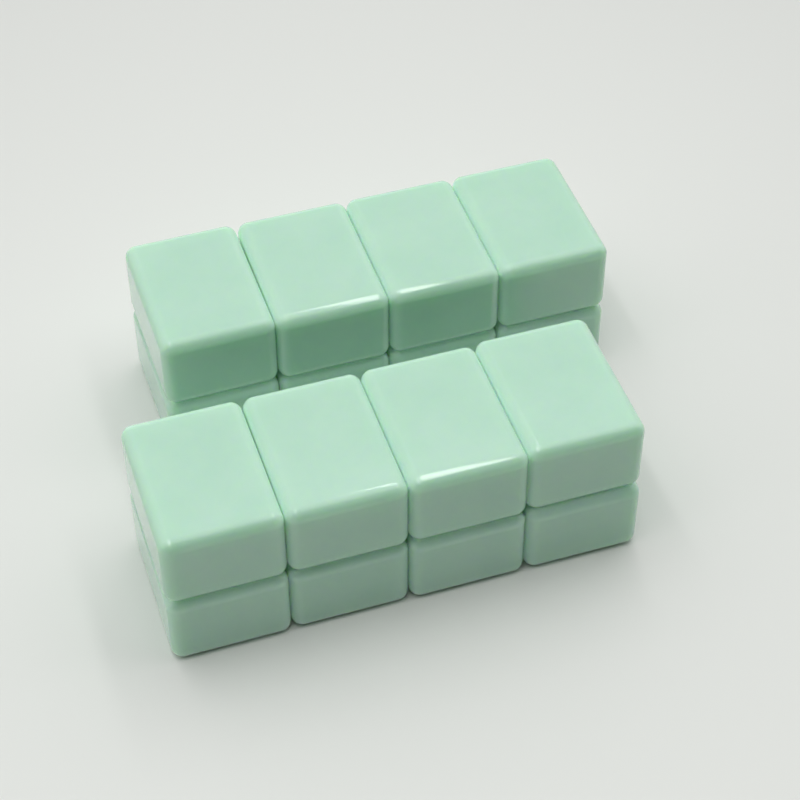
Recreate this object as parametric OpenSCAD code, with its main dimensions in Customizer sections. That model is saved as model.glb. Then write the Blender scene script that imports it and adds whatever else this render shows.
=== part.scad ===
// A section of a mahjong wall: two rows of loose tiles, stacked two high and lying face down.
// Millimetres. +X runs along the rows, +Y from the front row to the back row, +Z up.
// The origin is on the table, below the middle of the whole group.

/* [Tile] */
// Width of a tile, along its row
tile_w = 30; // [20:0.5:36]
// Length of a tile, across its row
tile_l = 42; // [28:0.5:50]
// Thickness of a tile, from its face to its back
tile_t = 21; // [12:0.5:28]
// Radius of every rounded edge and corner
edge_r = 3; // [0.5:0.1:4]

/* [Wall] */
// Air between the sides of two neighbouring tiles
side_gap = 0.1; // [0.1:0.1:5]
// Clear table between the front row and the back row
row_gap = 20.8; // [10:0.1:60]
// How far the back row stands to the right of the front row
row_shift = 15.6; // [0:0.1:30]

/* [Hidden] */
COLUMNS = 4;
ROWS = ["front", "back"];
LEVELS = ["lower", "upper"];

function tile_name(row, level, column) =
    str(ROWS[row], "_", LEVELS[level], "_tile_", column + 1);

// How each tile sits off its exact place: [along X, along Y, turn about Z in degrees].
// PLACING[row][level] has one entry for each column. A turned tile sits a little further
// from its neighbour, so that the two stay clear.
PLACING = [
    [
        [[0, -0.3, 0.1], [0, 0, 0], [0, -0.3, 0], [0.1, -0.3, -0.2]],
        [[-0.05, 0, 0.2], [0, 0, 0], [0, 0, 0], [0, 0.6, 0]],
    ],
    [
        [[-0.15, 0.1, 0.5], [0, 0.2, 0], [0, 0.3, 0], [0, -0.1, 0]],
        [[-0.15, 0.2, 0.5], [0, 0, 0], [0, 0, 0], [0, 0, 0]],
    ],
];

tile_colour = [0.72, 0.86, 0.78];
facets = 48;
tile_pitch = tile_w + side_gap;
row_pitch = tile_l + row_gap;
flat_w = tile_w - 2 * edge_r;
flat_l = tile_l - 2 * edge_r;
flat_t = tile_t - 2 * edge_r;

module quarter_disc() {
    intersection() {
        circle(r = edge_r, $fn = facets);
        square(edge_r);
    }
}

// A quarter round that lies along Y
module edge_bar(length) {
    rotate([90, 0, 0]) linear_extrude(height = length, center = true) quarter_disc();
}

// An eighth of a ball
module corner() {
    rotate_extrude(angle = 90, $fn = facets) quarter_disc();
}

// The middle of the tile, with its flat sides and its four rounded upright edges
module belt() {
    linear_extrude(height = flat_t, center = true) {
        square([tile_w, flat_l], center = true);
        square([flat_w, tile_l], center = true);
        for (x = [-1, 1], y = [-1, 1])
            translate([x * flat_w / 2, y * flat_l / 2]) circle(r = edge_r, $fn = facets);
    }
}

// The flat back of the tile with its rounded rim, standing on the belt
module cap() {
    translate([0, 0, edge_r / 2]) cube([flat_w, flat_l, edge_r], center = true);
    for (turn = [0, 180])
        rotate(turn) {
            translate([flat_w / 2, 0, 0]) edge_bar(flat_l);
            translate([0, flat_l / 2, 0]) rotate(90) edge_bar(flat_w);
        }
    for (x = [0, 1], y = [0, 1])
        mirror([x, 0]) mirror([0, y]) translate([flat_w / 2, flat_l / 2, 0]) corner();
}

// One solid tile, centred on the origin: the belt, with a cap above and the same cap below
module tile() {
    color(tile_colour) {
        belt();
        for (flip = [0, 180])
            rotate([flip, 0, 0]) translate([0, 0, flat_t / 2]) cap();
    }
}

// A tile where it lies in the wall
module placed_tile(row, level, column) {
    placing = PLACING[row][level][column];
    x = (column - (COLUMNS - 1) / 2) * tile_pitch + (row - 0.5) * row_shift;
    y = (row - 0.5) * row_pitch;
    z = (level + 0.5) * tile_t;
    translate([x + placing[0], y + placing[1], z]) rotate(placing[2]) tile();
}

for (row = [0:1], level = [0:1], column = [0:COLUMNS - 1])
    placed_tile(row, level, column);
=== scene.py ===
"""A section of a mahjong wall: sixteen glossy mint green tiles on a pale floor, in soft overhead light."""
import math

import bpy
from mathutils import Euler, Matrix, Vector

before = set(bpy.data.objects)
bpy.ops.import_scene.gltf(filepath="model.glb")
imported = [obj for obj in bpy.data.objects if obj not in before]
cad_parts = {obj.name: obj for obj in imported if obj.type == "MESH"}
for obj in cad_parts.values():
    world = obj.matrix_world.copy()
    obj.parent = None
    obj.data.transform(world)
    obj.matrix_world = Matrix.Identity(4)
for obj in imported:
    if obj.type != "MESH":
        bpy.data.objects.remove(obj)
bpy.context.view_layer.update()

MM = 0.001

# The camera looks down at the tiles from the front left.
AIM = Vector((5.2, -4.1, 20.0)) * MM
VIEW_AZIMUTH = 18.05
VIEW_ELEVATION = 45.87
VIEW_ROLL = -0.2
VIEW_DISTANCE = 0.524
LENS_MM = 91.7
SENSOR_MM = 36

# The plastic's colours: its darker and paler clouds, its fine grain, and a paler painted light for the narrow gaps
# between tiles, standing in for light passing through the plastic, since the gaps would render too dark.
MINT_DEEP = (0.425, 0.665, 0.53, 1)
MINT_PALE = (0.45, 0.682, 0.552, 1)
MINT_GRAIN = (0.50, 0.73, 0.60, 1)
MINT_PAINTED_GAP_LIGHT = (0.68, 0.98, 0.80, 1)

FLOOR_COLOUR = (0.715, 0.732, 0.702, 1)
FLOOR_SIZE = 12.0

# The surround is pale, and fades to dark in front of the tiles. DARK_AT and PALE_AT are the Y of a direction.
PALE_STRENGTH = 0.92
DARK_STRENGTH = 0.015
DARK_AT = -0.46
PALE_AT = -0.2


def make_camera():
    data = bpy.data.cameras.new("camera")
    data.lens = LENS_MM
    data.sensor_width = SENSOR_MM
    camera = bpy.data.objects.new("camera", data)
    bpy.context.scene.collection.objects.link(camera)
    azimuth = math.radians(VIEW_AZIMUTH)
    elevation = math.radians(VIEW_ELEVATION)
    back = Vector((
        -math.sin(azimuth) * math.cos(elevation),
        -math.cos(azimuth) * math.cos(elevation),
        math.sin(elevation),
    ))
    camera.location = AIM + back * VIEW_DISTANCE
    turn = (-back).to_track_quat("-Z", "Y")
    roll = Euler((0, 0, math.radians(VIEW_ROLL))).to_quaternion()
    camera.rotation_mode = "QUATERNION"
    camera.rotation_quaternion = turn @ roll
    bpy.context.scene.camera = camera


def panel(name, place, turn, size, brightness):
    """A flat lamp. Its size is across and along, in metres, and it shines down until it is turned."""
    data = bpy.data.lights.new(name, "AREA")
    data.shape = "RECTANGLE"
    data.size, data.size_y = size
    data.energy = brightness * math.pi * size[0] * size[1]
    light = bpy.data.objects.new(name, data)
    light.location = place
    light.rotation_euler = [math.radians(angle) for angle in turn]
    light.visible_camera = False
    bpy.context.scene.collection.objects.link(light)


def make_lights():
    """Two narrow lamps under a soft ceiling."""
    panel("lamp_right", (0.104, 0.075, 0.465), (0, 0, 2), (0.046, 0.44), 5.2)
    panel("lamp_left", (-0.09, -0.08, 0.465), (0, 0, 2), (0.036, 0.44), 8.0)
    panel("ceiling", (0.02, 0.05, 0.475), (0, 0, 0), (0.6, 0.6), 0.3)
    panel("ceiling_front_left", (-0.13, -0.1, 0.475), (0, 0, 0), (0.3, 0.3), 0.75)
    bpy.context.scene.view_settings.view_transform = "Standard"


def make_surround():
    world = bpy.data.worlds.new("world")
    world.use_nodes = True
    tree = world.node_tree
    direction = tree.nodes.new("ShaderNodeTexCoord").outputs["Generated"]
    split = tree.nodes.new("ShaderNodeSeparateXYZ")
    tree.links.new(direction, split.inputs["Vector"])
    fade = tree.nodes.new("ShaderNodeMapRange")
    fade.interpolation_type = "SMOOTHSTEP"
    tree.links.new(split.outputs["Y"], fade.inputs["Value"])
    fade.inputs["From Min"].default_value = DARK_AT
    fade.inputs["From Max"].default_value = PALE_AT
    fade.inputs["To Min"].default_value = DARK_STRENGTH
    fade.inputs["To Max"].default_value = PALE_STRENGTH
    background = tree.nodes["Background"]
    background.inputs["Color"].default_value = (1, 1, 1, 1)
    tree.links.new(fade.outputs["Result"], background.inputs["Strength"])
    bpy.context.scene.world = world


def make_floor():
    mesh = bpy.data.meshes.new("floor")
    half = FLOOR_SIZE / 2
    mesh.from_pydata([(-half, -half, 0), (half, -half, 0), (half, half, 0), (-half, half, 0)], [], [(0, 1, 2, 3)])
    floor = bpy.data.objects.new("floor", mesh)
    bpy.context.scene.collection.objects.link(floor)
    material = bpy.data.materials.new("floor")
    material.use_nodes = True
    shader = material.node_tree.nodes["Principled BSDF"]
    shader.inputs["Base Color"].default_value = FLOOR_COLOUR
    shader.inputs["Roughness"].default_value = 0.6
    mesh.materials.append(material)


class Nodes:
    """Short ways to add nodes to a material. Each call returns the socket that the next one takes."""

    def __init__(self, material):
        material.use_nodes = True
        self.tree = material.node_tree
        self.shader = self.tree.nodes["Principled BSDF"]
        place = self.tree.nodes.new("ShaderNodeTexCoord")
        self.place = place.outputs["Object"]

    def set(self, socket, value):
        if isinstance(value, bpy.types.NodeSocket):
            self.tree.links.new(value, socket)
        else:
            socket.default_value = value

    def noise(self, size, detail=2.0, roughness=0.5):
        """Soft noise from 0 to 1 whose blobs are about this many metres across."""
        node = self.tree.nodes.new("ShaderNodeTexNoise")
        self.set(node.inputs["Vector"], self.place)
        node.inputs["Scale"].default_value = 1 / size
        node.inputs["Detail"].default_value = detail
        node.inputs["Roughness"].default_value = roughness
        return node.outputs["Fac"]

    def scratches(self, size, turn):
        """Thin straight lines, 1 on a line and 0 between lines, turned about Z by this many degrees."""
        lay = self.tree.nodes.new("ShaderNodeMapping")
        self.set(lay.inputs["Vector"], self.place)
        lay.inputs["Rotation"].default_value = (0, 0, math.radians(turn))
        lay.inputs["Scale"].default_value = (1 / size, 1 / (size * 40), 1 / (size * 6))
        node = self.tree.nodes.new("ShaderNodeTexVoronoi")
        node.feature = "DISTANCE_TO_EDGE"
        self.set(node.inputs["Vector"], lay.outputs["Vector"])
        node.inputs["Scale"].default_value = 1
        return self.spread(node.outputs["Distance"], 0.0, 0.03, 1.0, 0.0)

    def spread(self, value, low, high, to_low, to_high):
        node = self.tree.nodes.new("ShaderNodeMapRange")
        self.set(node.inputs["Value"], value)
        node.inputs["From Min"].default_value = low
        node.inputs["From Max"].default_value = high
        node.inputs["To Min"].default_value = to_low
        node.inputs["To Max"].default_value = to_high
        return node.outputs["Result"]

    def math(self, operation, first, second):
        node = self.tree.nodes.new("ShaderNodeMath")
        node.operation = operation
        self.set(node.inputs[0], first)
        self.set(node.inputs[1], second)
        return node.outputs["Value"]

    def mix(self, share, first, second):
        node = self.tree.nodes.new("ShaderNodeMix")
        node.data_type = "RGBA"
        self.set(node.inputs["Factor"], share)
        self.set(node.inputs[6], first)
        self.set(node.inputs[7], second)
        return node.outputs[2]

    def nearness(self, distance, inside):
        """How closely other surfaces crowd a point, from 0 to 1: inside finds thin edges, outside narrow gaps."""
        node = self.tree.nodes.new("ShaderNodeAmbientOcclusion")
        node.samples = 4
        node.inside = inside
        node.inputs["Distance"].default_value = distance
        return self.math("SUBTRACT", 1.0, node.outputs["AO"])

    def bump(self, height, strength, distance, under=None):
        node = self.tree.nodes.new("ShaderNodeBump")
        self.set(node.inputs["Height"], height)
        node.inputs["Strength"].default_value = strength
        node.inputs["Distance"].default_value = distance
        if under:
            self.set(node.inputs["Normal"], under)
        return node.outputs["Normal"]


def mint_plastic():
    """Hard glossy plastic that lets a little light in: cloudy in its depth, polished but handled on its surface,
    with a paler painted light in the narrow gaps between tiles.
    """
    material = bpy.data.materials.new("mint_tile_plastic")
    nodes = Nodes(material)
    shader = nodes.shader

    clouds = nodes.spread(nodes.noise(14 * MM, 4.0, 0.55), 0.35, 0.65, 0.0, 1.0)
    grain = nodes.noise(0.5 * MM, 2.0)
    # Painted light: where other tiles crowd close, the colour is painted paler, standing in for light that passes
    # through the plastic into the gaps.
    painted_gap_light_mask = nodes.nearness(4.5 * MM, False)
    colour = nodes.mix(clouds, MINT_DEEP, MINT_PALE)
    colour = nodes.mix(nodes.spread(grain, 0.3, 0.7, 0.0, 0.10), colour, MINT_GRAIN)
    colour = nodes.mix(nodes.spread(painted_gap_light_mask, 0.15, 0.7, 0.0, 1.0), colour, MINT_PAINTED_GAP_LIGHT)
    nodes.set(shader.inputs["Base Color"], colour)

    smudges = nodes.spread(nodes.noise(9 * MM, 3.0, 0.6), 0.4, 0.75, 0.0, 0.04)
    marks = nodes.math("MAXIMUM", nodes.scratches(1.6 * MM, 24), nodes.scratches(2.3 * MM, -37))
    marks = nodes.math("MULTIPLY", marks, nodes.spread(nodes.noise(6 * MM), 0.5, 0.7, 0.0, 1.0))
    roughness = nodes.math("ADD", nodes.math("ADD", smudges, 0.06), nodes.math("MULTIPLY", marks, 0.06))
    nodes.set(shader.inputs["Roughness"], roughness)

    waves = nodes.bump(nodes.noise(5 * MM, 1.0), 0.35, 0.05 * MM)
    peel = nodes.bump(nodes.noise(0.7 * MM, 2.0), 0.25, 0.004 * MM, waves)
    scratched = nodes.bump(marks, 0.25, -0.003 * MM, peel)
    nodes.set(shader.inputs["Normal"], scratched)

    shader.inputs["Subsurface Weight"].default_value = 1.0
    shader.inputs["Subsurface Radius"].default_value = (0.8, 1.0, 0.5)
    shader.inputs["Subsurface Scale"].default_value = 6 * MM
    shader.inputs["IOR"].default_value = 1.65
    return material


make_camera()
make_lights()
make_surround()
make_floor()
plastic = mint_plastic()
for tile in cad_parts.values():
    tile.data.materials.clear()
    tile.data.materials.append(plastic)
